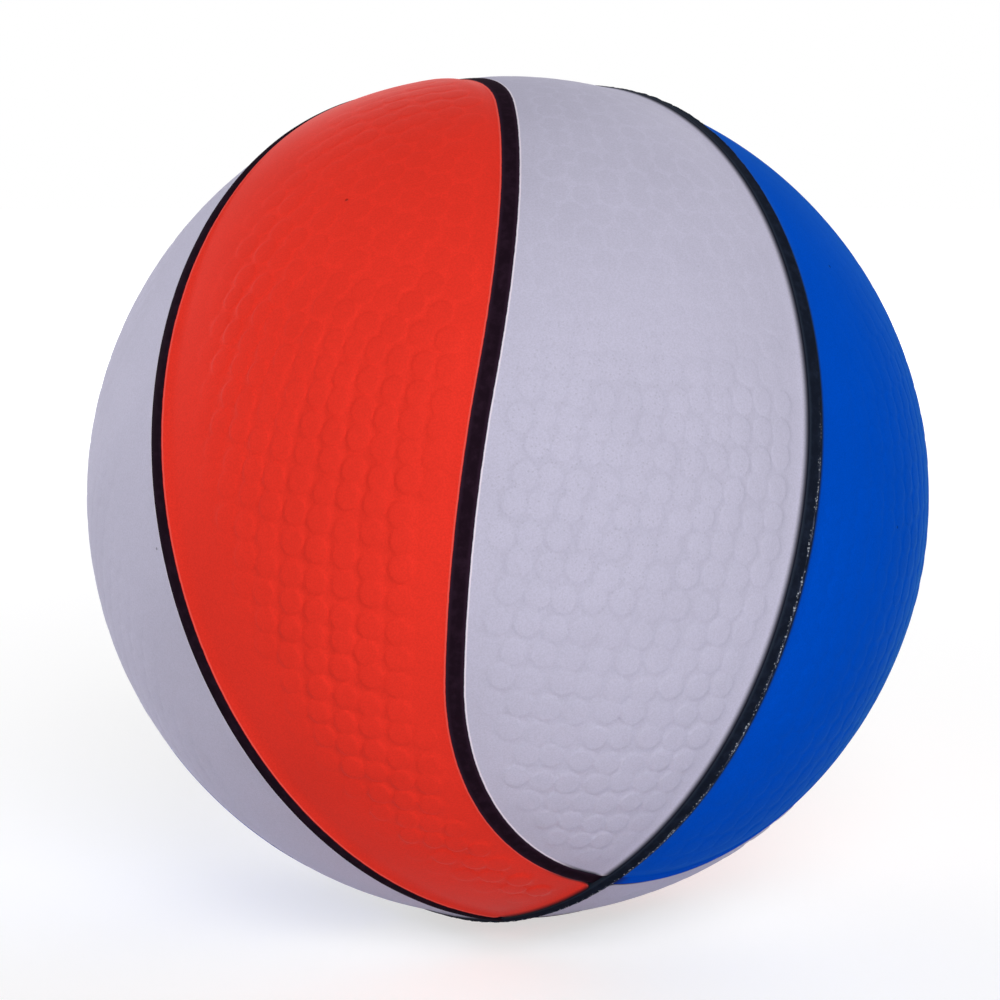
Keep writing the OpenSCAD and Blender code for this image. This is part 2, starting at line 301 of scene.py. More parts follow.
class HalfWave:
    """One half of the wave seam within a quarter: a long arc and the waist arc it runs into."""

    def __init__(self, mid, lean, arc, waist):
        self.start = np.array([math.cos(mid), -math.sin(mid), 0.0])
        level = np.array([math.sin(mid), math.cos(mid), 0.0])
        up = np.array([0.0, 0.0, 1.0])
        self.rise = math.sin(lean) * level + math.cos(lean) * up
        self.long_r = arc
        away = math.cos(lean) * level - math.sin(lean) * up
        self.long_axis = math.cos(arc) * self.start + math.sin(arc) * away
        self.waist_axis = np.array([math.cos(waist), 0.0, -math.sin(waist)])
        self.waist_r = arc - math.acos(self.long_axis @ self.waist_axis)
        side = unit(np.cross(self.long_axis, self.waist_axis))
        self.side = side if side @ self.start > 0 else -side
        along = unit(self.long_axis - (self.long_axis @ self.waist_axis) * self.waist_axis)
        self.joint = math.cos(self.waist_r) * self.waist_axis - math.sin(self.waist_r) * along
        self.end = np.array([math.cos(waist + self.waist_r), 0.0, -math.sin(waist + self.waist_r)])

    def gap(self, points):
        """Angle from the seam, less than zero inside the arcs."""
        long_gap = angle_from(points, self.long_axis) - self.long_r
        waist_gap = angle_from(points, self.waist_axis) - self.waist_r
        return np.where(points @ self.side > 0, long_gap, waist_gap)


class Bend:
    """Arc of a circle on the unit sphere, which can be drawn at any angle inside its panel."""

    def __init__(self, axis, radius, side, first, last, step):
        self.axis, self.radius, self.side = axis, radius, side
        self.across = unit(first - (first @ axis) * axis)
        self.along = np.cross(axis, self.across)
        self.sweep = math.atan2(last @ self.along, last @ self.across)
        count = max(3, math.ceil(abs(self.sweep) * math.sin(radius) / step))
        self.turns = np.linspace(0, self.sweep, count, endpoint=False)

    def at(self, inset, turns=None):
        r = self.radius - self.side * inset
        t = (self.turns if turns is None else turns)[:, None]
        return math.cos(r) * self.axis + math.sin(r) * (np.cos(t) * self.across + np.sin(t) * self.along)


class Quarter:
    """Lines of the seams in the first quarter, seen from the crossing that the low panel's tip is at."""

    def __init__(self, mid, lean, low, waist_low, up, waist_up, half, ring):
        self.low = HalfWave(mid, lean, low, waist_low)
        self.up = HalfWave(RIGHT - mid, lean, up, waist_up)
        low, up = self.low, self.up
        # axis, angular radius, and 1 where the low panel lies inside the circle
        self.half, self.ring = (*half, 1), (*ring, 1)
        self.waist_up = (SWAP @ up.waist_axis, up.waist_r, 1)
        self.long_up = (SWAP @ up.long_axis, up.long_r, 1)
        self.long_low = (low.long_axis, low.long_r, -1)
        self.waist_low = (low.waist_axis, low.waist_r, -1)
        self.joint_up = SWAP @ up.joint
        self.end_up = SWAP @ up.end

    def gaps(self, points):
        """Angles from the half seam, the ring seam and the wave, above zero on the low panel."""
        below = points @ self.low.rise < 0
        wave = np.where(below, self.low.gap(points), -self.up.gap(points @ SWAP.T))
        half, ring = (radius - angle_from(points, axis) for axis, radius, _ in (self.half, self.ring))
        return half, ring, wave

    def wave(self, top, foot, step):
        """The wave from a point on its upper waist arc to one on its lower."""
        return [
            Bend(*self.waist_up, top, self.joint_up, step),
            Bend(*self.long_up, self.joint_up, self.low.start, step),
            Bend(*self.long_low, self.low.start, self.low.joint, step),
            Bend(*self.waist_low, self.low.joint, foot, step),
        ]

    def loop(self, reach, step):
        """Outline of the low panel, with its corners rounded about points at an inset of reach."""
        tip = meet(self.ring, self.half, reach, np.array([0.0, 0.0, -1.0]))
        top = meet(self.half, self.waist_up, reach, self.end_up)
        foot = meet(self.waist_low, self.ring, reach, self.low.end)
        return [
            Bend(*self.half, tip, top, step),
            corner(top, reach, self.half, self.waist_up, step),
            *self.wave(top, foot, step),
            corner(foot, reach, self.waist_low, self.ring, step),
            Bend(*self.ring, foot, tip, step),
            corner(tip, reach, self.ring, self.half, step),
        ]


def meet(one, two, inset, near):
    """Point where two circles cross, each drawn at an inset."""
    c1 = math.cos(one[1] - one[2] * inset)
    c2 = math.cos(two[1] - two[2] * inset)
    g = one[0] @ two[0]
    base = ((c1 - g * c2) * one[0] + (c2 - g * c1) * two[0]) / (1 - g * g)
    normal = np.cross(one[0], two[0])
    off = math.sqrt(max(0.0, 1 - base @ base) / (normal @ normal)) * normal
    return min((base + off, base - off), key=lambda p: np.linalg.norm(p - near))


def corner(middle, reach, one, two, step):
    """Rounding between two lines of a panel's outline."""
    first, last = (-side * unit(axis - (axis @ middle) * middle) for axis, _, side in (one, two))
    return Bend(middle, reach, 1, first, last, step / 2)


def ball_frame(seams):
    """Rotation from the frame of the seams to the ball as it lies."""

    def about_z(a):
        return np.array([[math.cos(a), -math.sin(a), 0], [math.sin(a), math.cos(a), 0], [0, 0, 1]])

    def about_x(a):
        return np.array([[1, 0, 0], [0, math.cos(a), -math.sin(a)], [0, math.sin(a), math.cos(a)]])

    return about_z(seams.lie_face) @ about_x(seams.lie_tilt) @ about_z(seams.lie_turn)


def quarters(seams, sizes, flips):
    """Lines round a quarter's low panel, and round its high panel, which sees the ring as its half seam."""
    bow = flips[0] * sizes.half_bow / BALL_R
    half = (np.array([math.cos(bow), math.sin(bow), 0.0]),
            RIGHT - flips[0] * (sizes.half_shift - sizes.half_bow) / BALL_R)
    ring = (np.array([0.0, -1.0, 0.0]), RIGHT - flips[1] * sizes.ring_shift / BALL_R)
    lower, upper = (seams.wave_low, seams.waist_low), (seams.wave_up, seams.waist_up)
    low = Quarter(seams.wave_mid, seams.wave_lean, *lower, *upper, half, ring)
    half, ring = ((SWAP @ axis, radius) for axis, radius in (half, ring))
    high = Quarter(RIGHT - seams.wave_mid, seams.wave_lean, *upper, *lower, ring, half)
    return {"low": low, "high": high}


def scatter(step):
    """Points spread evenly over the unit sphere, about a step apart."""
    count = int(4 * math.pi / (0.866 * step * step))
    i = np.arange(count)
    z = 1 - (2 * i + 1) / count
    turn = i * math.pi * (3 - math.sqrt(5))
    r = np.sqrt(1 - z * z)
    return np.column_stack([r * np.cos(turn), r * np.sin(turn), z])


def fill_loop(middle, loops, inner):
    """Triangles between closed loops and the points inside them, on the sphere round a middle direction."""
    e1 = unit(np.cross(middle, [0.3, 0.5, 0.8]))
    e2 = np.cross(middle, e1)
    points = np.vstack(loops + [inner])
    flat = np.column_stack([points @ e1, points @ e2]) / (1 + points @ middle)[:, None]
    edges = []
    base = 0
    for loop in loops:
        n = len(loop)
        edges += [(base + j, base + (j + 1) % n) for j in range(n)]
        base += n
    out = delaunay_2d_cdt([Vector(p) for p in flat], edges, [], 1, 1e-10)
    back = np.array([o[0] for o in out[3]])
    faces = back[np.array(out[2])]
    if len(loops) > 1:
        hole_middle = unit(loops[1].mean(0))
        limit = (loops[1] @ hole_middle).min()
        faces = faces[unit_rows(points[faces].mean(1)) @ hole_middle < limit]
    return faces


def mesh_object(name, points, faces, attributes, sharp=180):
    """Object from points in metres and faces of three or four corners, smooth up to an angle in degrees."""
    mesh = bpy.data.meshes.new(name)
    corners = np.concatenate([f.ravel() for f in faces])
    counts = np.concatenate([np.full(len(f), f.shape[1]) for f in faces])
    mesh.vertices.add(len(points))
    mesh.vertices.foreach_set("co", np.asarray(points, np.float32).ravel())
    mesh.loops.add(len(corners))
    mesh.loops.foreach_set("vertex_index", corners.astype(np.int32))
    mesh.polygons.add(len(counts))
    mesh.polygons.foreach_set("loop_start", np.concatenate([[0], np.cumsum(counts)[:-1]]).astype(np.int32))
    mesh.update(calc_edges=True)
    if mesh.validate():
        raise RuntimeError(f"the mesh of {name} had faults")
    mesh.shade_smooth()
    mesh.set_sharp_from_angle(angle=math.radians(sharp))
    for key, values in attributes.items():
        mesh.attributes.new(key, "FLOAT", "POINT").data.foreach_set("value", np.asarray(values, np.float32))
    obj = bpy.data.objects.new(name, mesh)
    bpy.context.scene.collection.objects.link(obj)
    return obj


class Pebbles:
    """Shallow flat-topped pebbles in shifted rows, which fade at the top, foot, seams and valve."""

    # rings of points that shape a pebble, by their share of its radius, and how many points each has
    RINGS = {0.0: 1, 0.45: 8, 0.72: 16, 0.84: 18, 0.93: 18, 1.0: 18}
    # rows keep their count of pebbles up to this latitude
    EVEN_TO = math.radians(34)
    # share that pebbles lose towards the top and the foot, and the latitudes between which they lose it
    TOP_FADE = (0.85, math.radians(20), math.radians(52))
    FOOT_FADE = (0.8, math.radians(38), math.radians(55))
    # range over which a pebble strays from its place as a share of its spacing, across and along its row
    STRAY = (0.24, 0.16)
    # width along the row as a share of that across it, and how much larger some pebbles are than others
    NARROW = 0.9
    LARGER = 0.06
    # steepness of a pebble's side
    FLATNESS = 7
    # distances from a rim at which pebbles start and are full, and how slowly they start at the half seams
    MARGIN = (3.1 * MM, 4.4 * MM)
    SLOWLY = (0.16, 1.75 * MM)
    # pebbles weaker than this don't count
    LEAST = 0.02

    def __init__(self, sizes, seams, valve, lean):
        self.lean = lean
        self.pitch = sizes.pebble_pitch / BALL_R
        self.fill = sizes.pebble_fill / 2
        self.quarter = quarters(seams, sizes, (0, 0))["low"]
        self.clear = sizes.seam_width / 2 / BALL_R
        self.valve, self.valve_r = valve
        self.pole = ball_frame(seams).T @ unit(PEBBLE_POLE)
        self.e1 = unit(np.cross(self.pole, [0.2, 0.9, 0.1]))
        self.e2 = np.cross(self.pole, self.e1)

    def row(self, index):
        """Latitude and count of a row."""
        lat = index * self.pitch
        full = round(FULL_TURN / self.pitch)
        share = np.where(np.abs(lat) < self.EVEN_TO, 1.0, np.cos(lat))
        return lat, np.maximum(3, np.round(full * np.clip(share, 0.02, 1)))

    def pebble(self, index, place):
        """Middles, radii along and across the row, and strengths of pebbles at given places of given rows."""
        lat, count = self.row(index)
        spacing = FULL_TURN / count
        # a fixed number from 0 to 1 for each pebble
        chance = np.sin(index * 12.9898 + np.mod(place, count) * 78.233) * 43758.5453
        chance = chance - np.floor(chance)
        top, foot = (loss * smooth(way * lat, first, last)
                     for way, (loss, first, last) in ((1, self.TOP_FADE), (-1, self.FOOT_FADE)))
        lat = lat + (chance * 5 % 1 - 0.5) * self.STRAY[0] * self.pitch
        lon = (place + self.lean * index + (chance * 11 % 1 - 0.5) * self.STRAY[1]) * spacing
        middle = (np.sin(lat)[:, None] * self.pole
                  + np.cos(lat)[:, None] * (np.cos(lon)[:, None] * self.e1 + np.sin(lon)[:, None] * self.e2))
        radii = np.column_stack([self.NARROW * spacing * np.cos(lat), np.full(len(lat), self.pitch)])
        radii = (self.fill * (1.0 + self.LARGER * chance))[:, None] * radii
        strength = (0.6 + 0.4 * (chance * 7 % 1)) * (1 - top - foot) * smooth(self.room(middle), *self.MARGIN)
        return middle, radii, strength

    def room(self, middles):
        """Distance of pebble middles from the nearest rim in metres; half seams count as nearer."""
        folded = np.column_stack([np.abs(middles[:, 0]), -np.abs(middles[:, 1]), middles[:, 2]])
        half, ring, wave = self.quarter.gaps(folded)
        share, start = self.SLOWLY
        near = np.minimum(np.abs(ring), np.abs(wave)) - self.clear
        near = np.minimum(near, np.abs(half) * share + start / BALL_R)
        return np.minimum(near, angle_from(middles, self.valve) - self.valve_r) * BALL_R

    def axes(self, middles):
        """Directions along and across the row at pebble middles."""
        along = unit_rows(np.cross(self.pole, middles))
        return along, np.cross(middles, along)

    def at(self, points):
        """Pebbles' height from 0 to 1, how far out in the nearest a point is, and that one's strength."""
        lat = np.arcsin(np.clip(points @ self.pole, -1, 1))
        lon = np.arctan2(points @ self.e2, points @ self.e1)
        height, nearest = np.zeros(len(points)), np.zeros(len(points))
        out = np.full(len(points), 9.0)
        for index in np.round(lat / self.pitch) + np.array([[-1], [0], [1]]):
            _, count = self.row(index)
            before = np.floor(lon * count / FULL_TURN - self.lean * index)
            for place in (before, before + 1):
                middle, radii, strength = self.pebble(index, place)
                ways = zip(self.axes(middle), radii.T)
                away = np.hypot(*(((points - middle) * way).sum(1) / r for way, r in ways))
                height = np.maximum(height, strength * np.clip(1 - away**self.FLATNESS, 0, 1))
                nearer = (away < out) & (strength > self.LEAST)
                out = np.where(nearer, away, out)
                nearest = np.where(nearer, strength, nearest)
        return height, out, nearest

    def points(self):
        """Points that carry the shape of every pebble: its middle and rings round it."""
        last = int(RIGHT / self.pitch)
        found = []
        for row in range(-last, last + 1):
            _, count = self.row(np.array([row]))
            place = np.arange(int(count[0]))
            found.append(self.pebble(np.full(len(place), float(row)), place.astype(float)))
        middle, radii, strength = (np.concatenate(part) for part in zip(*found))
        keep = strength > self.LEAST
        middle, radii = middle[keep], radii[keep]
        along, across = self.axes(middle)
        rings = []
        for share, count in self.RINGS.items():
            count = max(1, count)
            for turn in np.linspace(0, FULL_TURN, count, endpoint=False):
                x, y = (share * radii * [math.cos(turn), math.sin(turn)]).T[:, :, None]
                rings.append(unit_rows(middle + x * along + y * across))
        return np.vstack(rings)


def bulge(points, sizes, seams):
    """Swelling of the ball towards the top of the front red panel, at points in the frame of the seams."""
    away = angle_from(points @ ball_frame(seams).T, unit(BULGE_TOWARDS))
    return sizes.bulge * np.exp(-((away / BULGE_SPREAD) ** 2))


def swell(points):
    """Slow unevenness of the moulded rubber, between -1 and 1."""
    ways = np.array([[3.1, 5.3, 2.2], [-4.7, 2.9, 6.1], [7.3, -3.7, 1.9],
                     [2.3, 8.1, -5.9], [-9.1, 4.3, 7.7]])
    return np.sin(points @ ways.T * 1.7 + np.arange(5) * 1.3).mean(1)


def ground(sizes):
    """Radius of the cover between its pebbles."""
    return BALL_R - COVER_INSET - sizes.pebble_height * DEEPEST


def band(one, two, count):
    """Quads between two closed rows of points, given by the numbers of their first points."""
    j = np.arange(count)
    k = (j + 1) % count
    return np.column_stack([one + j, one + k, two + k, two + j])


def facing_out(faces, points, sample):
    """Faces turned so that the first of them, a sample, look away from the ball's middle."""
    a, b, c = (points[faces[:sample, i]] for i in range(3))
    return faces if (np.cross(b - a, c - a) * a).sum() > 0 else faces[:, ::-1]


def panel_mesh(node, kind, flips, sizes, seams, pebbles, depth, hole):
    """A closed cover panel: rolled rim, pebbled top, side walls and underside."""
    step, edge = sizes.mesh_step / BALL_R, sizes.seam_width / 2 / BALL_R
    insets, lip = RIM_ROWS / BALL_R, LIP_ROWS / BALL_R
    quarter = quarters(seams, sizes, flips)[kind]
    place = np.diag(flips).astype(float) @ (SWAP if kind == "high" else np.eye(3))
    loop = quarter.loop(edge + insets[-1] + CORNER_ROOM / BALL_R, RIM_STEP / BALL_R)
    rows = [np.vstack([bend.at(edge + d) for bend in loop]) for d in insets]
    count = len(rows[0])
    valve, hole_r = place.T @ hole[0], hole[1]
    hole_rows, hole_n = [], 0
    if node == HOLED:
        first = unit(np.cross(valve, [0.0, 0.0, 1.0]))
        hole_n = LIP_POINTS
        turns = np.linspace(FULL_TURN, 0, hole_n, endpoint=False)
        hole_rows = [Bend(valve, hole_r, -1, first, first, 1.0).at(d, turns) for d in lip]

    def inside(points, margin, hole_margin):
        """Those of some points that lie on the panel, by margins from its edge and its hole."""
        points = points[(points[:, 0] > 0) & (points[:, 1] < 0)]
        clear = np.min(quarter.gaps(points), axis=0) > edge + margin
        return points[clear & (angle_from(points, valve) > hole_r + hole_margin)]

    spread = scatter(step)
    spread = spread[pebbles.at(spread @ place.T)[1] > PEBBLE_CLEAR]
    spread = np.vstack([pebbles.points() @ place, spread])
    inner = inside(spread, insets[-1] + RIM_CLEAR * step, lip[-1] + RIM_CLEAR * step)
    centre = unit(rows[0].mean(0))
    top = fill_loop(centre, rows[-1:] + hole_rows[-1:], inner)

    # points of the top: the rim's rows from outside in, those of the hole's lip, then the middle
    dirs = np.vstack(rows + hole_rows + [inner])
    hole_base = len(rows) * count
    inner_base = hole_base + len(hole_rows) * hole_n
    numbers = np.concatenate([hole_base - count + np.arange(count), inner_base - hole_n + np.arange(hole_n),
                              inner_base + np.arange(len(inner))])
    triangles = [numbers[top]]
    quads = [band(k * count, (k + 1) * count, count) for k in range(len(rows) - 1)]
    starts = hole_base + hole_n * np.arange(len(hole_rows))
    quads += [band(inwards, outwards, hole_n) for outwards, inwards in zip(starts, starts[1:])]

    # distances in metres from the edge, the hole's edge and each seam's edge
    placed = dirs @ place.T
    gaps = quarter.gaps(dirs)
    rim = np.min(gaps, axis=0) - edge
    rim[:hole_base] = np.repeat(insets, count)
    rim_m = rim * BALL_R
    lip_m = (angle_from(dirs, valve) - hole_r) * BALL_R if hole_rows else np.full(len(dirs), BALL_R)
    half_m, ring_m, wave_m = (np.maximum(0, gap - edge) * BALL_R for gap in gaps)
    if kind == "high":
        half_m, ring_m = ring_m, half_m

    # height: the ground, the pebbles, the flanks of the ribs, the swelling and the hole's lip
    relief, out, strength = pebbles.at(placed)
    lift = (DEEPEST - depth) * smooth(rim_m, 0.0, GROUND_WIDTH) + FAINT.get(node, 1.0) * depth * relief
    beside_half, beside_ring = (np.clip(1 - m / sizes.flank_width, 0, 1) ** 2 for m in (half_m, ring_m))
    half_share = 1.0 if flips[1] > 0 else sizes.rear_rib
    climb = sizes.flank_rise * np.maximum(half_share * beside_half, beside_ring)
    lap = sizes.wave_rise * np.clip(1 - wave_m / LAP_WIDTH, 0, 1) ** 2
    proud = bulge(placed, sizes, seams) * smooth(wave_m, 0.0, SWELL_WIDTH) if node == SWOLLEN else 0.0
    lip_roll = 1 - np.sqrt(np.clip(1 - (1 - np.clip(lip_m / LIP_ROWS[-1], 0, 1)) ** 2, 0, 1))
    height = (ground(sizes) + sizes.pebble_height * lift + UNEVEN * swell(placed)
              + (np.maximum(climb, lap) ** 4 + proud**4) ** 0.25 - LIP_SINK * lip_roll)

    # side walls, then the underside
    inside_r = BALL_R - sizes.cover
    points = [dirs * height[:, None]]
    total = len(dirs)
    walls = rows[:1] + hole_rows[:1]
    feet = []
    for wall, start in zip(walls, (0, hole_base)):
        n = len(wall)
        top_r = height[start:start + n]
        previous = start
        for share in WALL_ROWS:
            points.append(wall * (top_r + (inside_r - top_r) * share)[:, None])
            quads.append(band(previous, total, n) if start else band(total, previous, n))
            previous = total
            total += n
        feet.append(previous + np.arange(n))
    under = inside(scatter(UNDER_STEP / BALL_R), UNDER_MARGIN / BALL_R, UNDER_MARGIN / BALL_R)
    numbers = np.concatenate(feet + [total + np.arange(len(under))])
    triangles.append(numbers[fill_loop(centre, walls, under)][:, ::-1])
    points = np.vstack(points + [under * inside_r]) @ place.T @ ball_frame(seams).T

    # rings round the pebbles: the finishes paint them paler in the upper part as a painted highlight, and
    # darker near the grime as painted shade
    outline = smooth(out, 0.9, 1.0) * smooth(out, 1.3, 1.05) * np.sqrt(strength)
    below = len(points) - len(dirs)
    distances = {"rim": np.minimum(rim_m, lip_m), "ring": ring_m, "wave": wave_m}
    hidden = np.full(below, UNDER_RIM)
    attributes = {key: np.concatenate([values / MM, hidden]) for key, values in distances.items()}
    attributes["outline"] = np.concatenate([outline, np.zeros(below)])
    faces = [facing_out(np.vstack(triangles), points, len(top)),
             facing_out(np.vstack(quads), points, count)]
    return mesh_object("cover_" + node[6:], points, faces, attributes, sharp=50)


def strip_mesh(node, bends, place, seams, profile, crown, attributes, ends=True):
    """A seam swept along arcs: profile gives how far across and how high each point of its section lies."""
    rows = []
    for across, _ in profile:
        line = [bend.at(across / BALL_R) for bend in bends]
        if ends:
            line.append(bends[-1].at(across / BALL_R, np.array([bends[-1].sweep])))
        rows.append(np.vstack(line))
    n, m = len(rows[0]), len(profile)
    radii = np.array([radius for _, radius in profile])[:, None] + crown(rows)
    points = np.stack([row * r[:, None] for row, r in zip(rows, radii)], axis=1).reshape(-1, 3)
    points = points @ place.T @ ball_frame(seams).T
    j = np.arange(n - 1 if ends else n)
    k = (j + 1) % n
    sides = ((a, (a + 1) % m) for a in range(m))
    groups = [np.vstack([np.column_stack([j * m + a, j * m + b, k * m + b, k * m + a]) for a, b in sides])]
    if ends:
        cap = np.array([(0, a, a + 1) for a in range(1, m - 1)])
        groups.append(np.vstack([cap[:, ::-1], (n - 1) * m + cap]))
    q = groups[0][: len(j)]
    normal = np.cross(points[q[:, 1]] - points[q[:, 0]], points[q[:, 3]] - points[q[:, 0]])
    if (normal * points[q[:, 0]]).sum() < 0:
        groups = [g[:, ::-1] for g in groups]
    steps = np.linalg.norm(np.diff(rows[m // 2], axis=0), axis=1) * BALL_R / MM
    to_end = np.concatenate([np.cumsum(steps[::-1])[::-1], [0.0]])
    # the foot of the section has none of the values that its top has
    values = {key: np.tile(np.append(value, [0, 0]), n) for key, value in attributes.items()}
    values["to_end"] = np.repeat(to_end, m)
    return mesh_object("strip_" + node[5:], points, groups, values, sharp=55)


def rough_line(n, width, seed):
    """Smooth random line round a ring, about -1 to 1, with bumps some points wide."""
    line = np.random.RandomState(seed).normal(size=n)
    spectrum = np.fft.rfft(line)
    spectrum *= np.exp(-((np.arange(len(spectrum)) * width / n) ** 2) * 4)
    line = np.fft.irfft(spectrum, n)
    return line / (np.abs(line).max() + 1e-9)


def turned_mesh(name, profile, segments=96):
    """A body turned about the valve's line from a closed outline of radii and heights in millimetres."""
    outline = np.array(profile) * MM
    turns = np.linspace(0, FULL_TURN, segments, endpoint=False)
    points = []
    rows = []
    for radius, height in outline:
        ring = turns if radius > 0 else turns[:1]
        rows.append(np.resize(len(points) + np.arange(len(ring)), segments))
        points.extend((radius * math.cos(turn), height, radius * math.sin(turn)) for turn in ring)
    groups = []
    following = np.roll(outline, -1, axis=0)
    for one, two, here, there in zip(rows, rows[1:] + rows[:1], outline[:, 0], following[:, 0]):
        faces = np.column_stack([one, two, np.roll(two, -1), np.roll(one, -1)])
        if here > 0 and there > 0:
            groups.append(faces)
        elif here > 0:
            groups.append(faces[:, [0, 1, 3]])
        elif there > 0:
            groups.append(faces[:, [0, 1, 2]])
    if np.sum(outline[:, 0] * following[:, 1] - following[:, 0] * outline[:, 1]) < 0:
        groups = [group[:, ::-1] for group in groups]
    return mesh_object(name, np.array(points), groups, {}, sharp=40)


def rounded(points, radius, steps=4):
    """Closed outline with its corners rounded, apart from those on the axis."""
    points = [np.array(p, float) for p in points]
    out = []
    for i, p in enumerate(points):
        if p[0] == 0:
            out.append(p)
            continue
        a, b = points[i - 1], points[(i + 1) % len(points)]
        da, db = np.linalg.norm(a - p), np.linalg.norm(b - p)
        r = min(radius, 0.45 * da, 0.45 * db)
        start, stop = p + (a - p) / da * r, p + (b - p) / db * r
        for t in np.linspace(0, 1, steps + 1):
            out.append((1 - t) ** 2 * start + 2 * t * (1 - t) * p + t * t * stop)
    return out


class Value:
    """A number in a shader: Python's operators on it add Math nodes."""

    def __init__(self, finish, socket):
        self.finish, self.socket = finish, socket

    def maths(self, operation, *operands):
        node = self.finish.node("Math", {"operation": operation}, dict(enumerate(operands)))
        return Value(self.finish, node.outputs[0])

    def __add__(self, other):
        return self.maths("ADD", self, other)

    __radd__ = __add__

    def __sub__(self, other):
        return self.maths("SUBTRACT", self, other)

    def __rsub__(self, other):
        return self.maths("SUBTRACT", other, self)

    def __mul__(self, other):
        return self.maths("MULTIPLY", self, other)

    __rmul__ = __mul__

    def __or__(self, other):
        """The larger of two values."""
        return self.maths("MAXIMUM", self, other)

    __ror__ = __or__

    def step(self, low, high):
        """0 at low, 1 at high, smooth between; the other way round where low is the larger."""
        node = self.finish.node("MapRange", {"interpolation_type": "SMOOTHSTEP"}, {
            "Value": self, "From Min": min(low, high), "From Max": max(low, high),
            "To Min": 0.0 if low < high else 1.0, "To Max": 1.0 if low < high else 0.0})
        return Value(self.finish, node.outputs["Result"])


class Finish:
    """A material or world under construction."""

    def __init__(self, owner):
        owner.use_nodes = True
        self.owner, self.tree = owner, owner.node_tree
        self.tree.nodes.clear()

    def node(self, kind, settings=None, sockets=None):
        """A node of a kind, with its settings made first and its sockets then filled or linked."""
        node = self.tree.nodes.new("ShaderNode" + kind)
        for key, value in (settings or {}).items():
            setattr(node, key, value)
        for key, value in (sockets or {}).items():
            if isinstance(key, int):
                socket = node.inputs[key]
            else:
                socket = next(s for s in node.inputs if s.name == key and s.enabled)
            if isinstance(value, Value):
                value = value.socket
            if isinstance(value, bpy.types.NodeSocket):
                self.tree.links.new(value, socket)
            else:
                socket.default_value = value
        return node

    def value(self, node, output):
        return Value(self, node.outputs[output])

    def point(self):
        return self.node("TexCoord").outputs["Object"]

    def height(self):
        """Height over the ball's middle as it lies."""
        return self.value(self.node("SeparateXYZ", None, {"Vector": self.point()}), "Z")

    def distance(self, middle=(0.0, 0.0, 0.0)):
        """Distance in metres from a point."""
        node = self.node("VectorMath", {"operation": "DISTANCE"}, {0: self.point(), 1: middle})
        return self.value(node, "Value")

    def noise(self, scale, detail=2.0, rough=0.5):
        """Cloudy noise from 0 to 1, with so many clouds in a metre."""
        sockets = {"Vector": self.point(), "Scale": scale, "Detail": detail, "Roughness": rough}
        return self.value(self.node("TexNoise", None, sockets), "Fac")

    def spots(self, scale):
        """Distance from the nearest of scattered points, and a random number for that point."""
        sockets = {"Vector": self.point(), "Scale": scale, "Randomness": 1.0}
        node = self.node("TexVoronoi", {"feature": "F1"}, sockets)
        chance = self.node("SeparateColor", None, {"Color": node.outputs["Color"]})
        return self.value(node, "Distance"), self.value(chance, "Red")

    def attribute(self, name):
        return self.value(self.node("Attribute", {"attribute_name": name}), "Fac")

    def seen(self):
        """1 for rays from the camera and for what gloss and glass show."""
        path = self.node("LightPath")
        camera, glossy, clear = (
            self.value(path, f"Is {ray} Ray") for ray in ("Camera", "Glossy", "Transmission"))
        return camera | glossy | clear

    def mix(self, share, one, two):
        """Colour between two others."""
        node = self.node("Mix", {"data_type": "RGBA"}, {"Factor": share, "A": colour(one), "B": colour(two)})
        return next(s for s in node.outputs if s.enabled)

    def bump(self, height, distance, strength=1.0):
        sockets = {"Height": height, "Distance": distance, "Strength": strength}
        return self.node("Bump", None, sockets).outputs["Normal"]

    def surface(self, sockets):
        shader = self.node("BsdfPrincipled", None, sockets)
        self.node("OutputMaterial", None, {"Surface": shader.outputs[0]})
        return self.owner


def colour(c):
    return c if isinstance(c, bpy.types.NodeSocket) else (*c, 1.0)


def shade(c, factor):
    return tuple(min(1.0, v * factor) for v in c)


def material(name):
    return Finish(bpy.data.materials.new(name))


